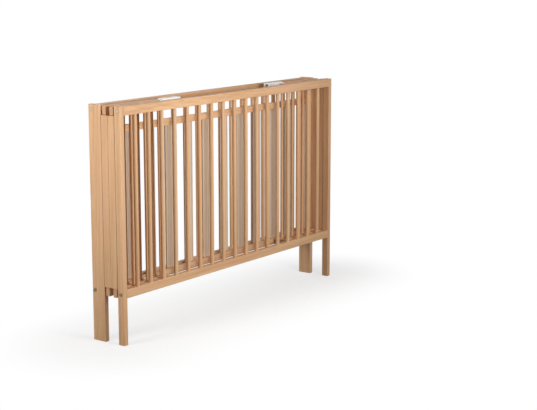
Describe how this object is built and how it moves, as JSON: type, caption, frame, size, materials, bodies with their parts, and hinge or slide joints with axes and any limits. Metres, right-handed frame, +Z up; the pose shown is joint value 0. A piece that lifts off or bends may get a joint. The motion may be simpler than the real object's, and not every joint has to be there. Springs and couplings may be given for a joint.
{
  "type": "folding crib",
  "caption": "Wooden barred crib with ends that fold inwards between its two long sides, a fold-up slatted base and flip-up lock caps.",
  "frame": {"origin": "on the floor, under the middle of the folded crib", "axes": "+X along the crib to its right end, the front side faces -Y, +Z up"},
  "size_m": [1.253, 0.1424, 0.814],
  "materials": {
    "beech": "clear matt lacquer on beech",
    "bar": "clear matt lacquer on beech",
    "slat": "plain beech plywood",
    "white_plastic": "smooth moulded plastic",
    "steel": "zinc plated",
    "washer": "brown pressed fibre",
    "screw_cap": "plain moulded plastic"
  },
  "bodies": {
    "back_side": {"back_barrel_nuts": "steel", "back_bars": "bar", "back_bottom_rail": "beech", "back_left_post": "beech", "back_left_stile": "beech", "back_lower_bolts": "steel", "back_pivot_pins": "steel", "back_pivot_washers": "washer", "back_right_post": "beech", "back_right_stile": "beech", "back_screw_caps": "screw_cap", "back_top_rail": "beech", "back_upper_bolts": "steel", "base_front_rail": "beech", "base_pivot_pins": "steel", "base_rear_rail": "beech", "base_slats": "slat"},
    "front_side": {"front_barrel_nuts": "steel", "front_bars": "bar", "front_bottom_rail": "beech", "front_left_post": "beech", "front_left_stile": "beech", "front_lower_bolts": "steel", "front_pivot_pins": "steel", "front_pivot_washers": "washer", "front_right_post": "beech", "front_right_stile": "beech", "front_screw_caps": "screw_cap", "front_top_rail": "beech", "front_upper_bolts": "steel"},
    "left_back_leaf": {"left_back_leaf_bars": "bar", "left_back_leaf_bottom_rail": "beech", "left_back_leaf_top_rail": "beech"},
    "left_front_leaf": {"left_front_leaf_bars": "bar", "left_front_leaf_bottom_rail": "beech", "left_front_leaf_top_rail": "beech", "left_base_rest_peg": "steel"},
    "left_link": {"left_upper_link": "steel", "left_lower_link": "steel", "left_link_pins": "steel"},
    "left_cap": {"left_lock_cap": "white_plastic", "left_lock_cap_pin": "steel"},
    "right_back_leaf": {"right_back_leaf_bars": "bar", "right_back_leaf_bottom_rail": "beech", "right_back_leaf_top_rail": "beech"},
    "right_front_leaf": {"right_front_leaf_bars": "bar", "right_front_leaf_bottom_rail": "beech", "right_front_leaf_top_rail": "beech", "right_base_rest_peg": "steel"},
    "right_link": {"right_upper_link": "steel", "right_lower_link": "steel", "right_link_pins": "steel"},
    "right_cap": {"right_lock_cap": "white_plastic", "right_lock_cap_pin": "steel"}
  },
  "joints": [
    {"name": "left_end_fold", "type": "hinge", "parent": "back_side", "child": "left_back_leaf", "pos_m": [-0.61335, 0.00225, 0.486], "axis": [0, 0, -1], "range_deg": [0, 90]},
    {"name": "left_link_back_turn", "type": "hinge", "parent": "left_back_leaf", "child": "left_link", "pos_m": [-0.35335, 0.00225, 0.486], "axis": [0, 0, -1], "range_deg": [-90, 0]},
    {"name": "left_link_front_turn", "type": "hinge", "parent": "left_link", "child": "left_front_leaf", "pos_m": [-0.35335, -0.03075, 0.486], "axis": [0, 0, -1], "range_deg": [-90, 0]},
    {"name": "left_front_post_turn", "type": "hinge", "parent": "left_front_leaf", "child": "front_side", "pos_m": [-0.61335, -0.03075, 0.486], "axis": [0, 0, -1], "range_deg": [0, 90]},
    {"name": "right_end_fold", "type": "hinge", "parent": "back_side", "child": "right_back_leaf", "pos_m": [0.61335, 0.00225, 0.486], "axis": [0, 0, 1], "range_deg": [0, 90]},
    {"name": "right_link_back_turn", "type": "hinge", "parent": "right_back_leaf", "child": "right_link", "pos_m": [0.35335, 0.00225, 0.486], "axis": [0, 0, 1], "range_deg": [-90, 0]},
    {"name": "right_link_front_turn", "type": "hinge", "parent": "right_link", "child": "right_front_leaf", "pos_m": [0.35335, -0.03075, 0.486], "axis": [0, 0, 1], "range_deg": [-90, 0]},
    {"name": "left_cap_lift", "type": "hinge", "parent": "left_front_leaf", "child": "left_cap", "pos_m": [-0.38135, -0.03075, 0.801], "axis": [0, -1, 0], "range_deg": [0, 90]},
    {"name": "right_cap_lift", "type": "hinge", "parent": "right_back_leaf", "child": "right_cap", "pos_m": [0.38135, 0.00225, 0.801], "axis": [0, 1, 0], "range_deg": [0, 90]}
  ],
  "couplings": [
    {"joint": "left_link_back_turn", "follows": "left_end_fold", "ratio": -1},
    {"joint": "left_link_front_turn", "follows": "left_end_fold", "ratio": -1},
    {"joint": "left_front_post_turn", "follows": "left_end_fold", "ratio": 1},
    {"joint": "right_end_fold", "follows": "left_end_fold", "ratio": 1},
    {"joint": "right_link_back_turn", "follows": "left_end_fold", "ratio": -1},
    {"joint": "right_link_front_turn", "follows": "left_end_fold", "ratio": -1},
    {"joint": "left_cap_lift", "follows": "left_end_fold", "ratio": 1},
    {"joint": "right_cap_lift", "follows": "left_end_fold", "ratio": 1}
  ]
}
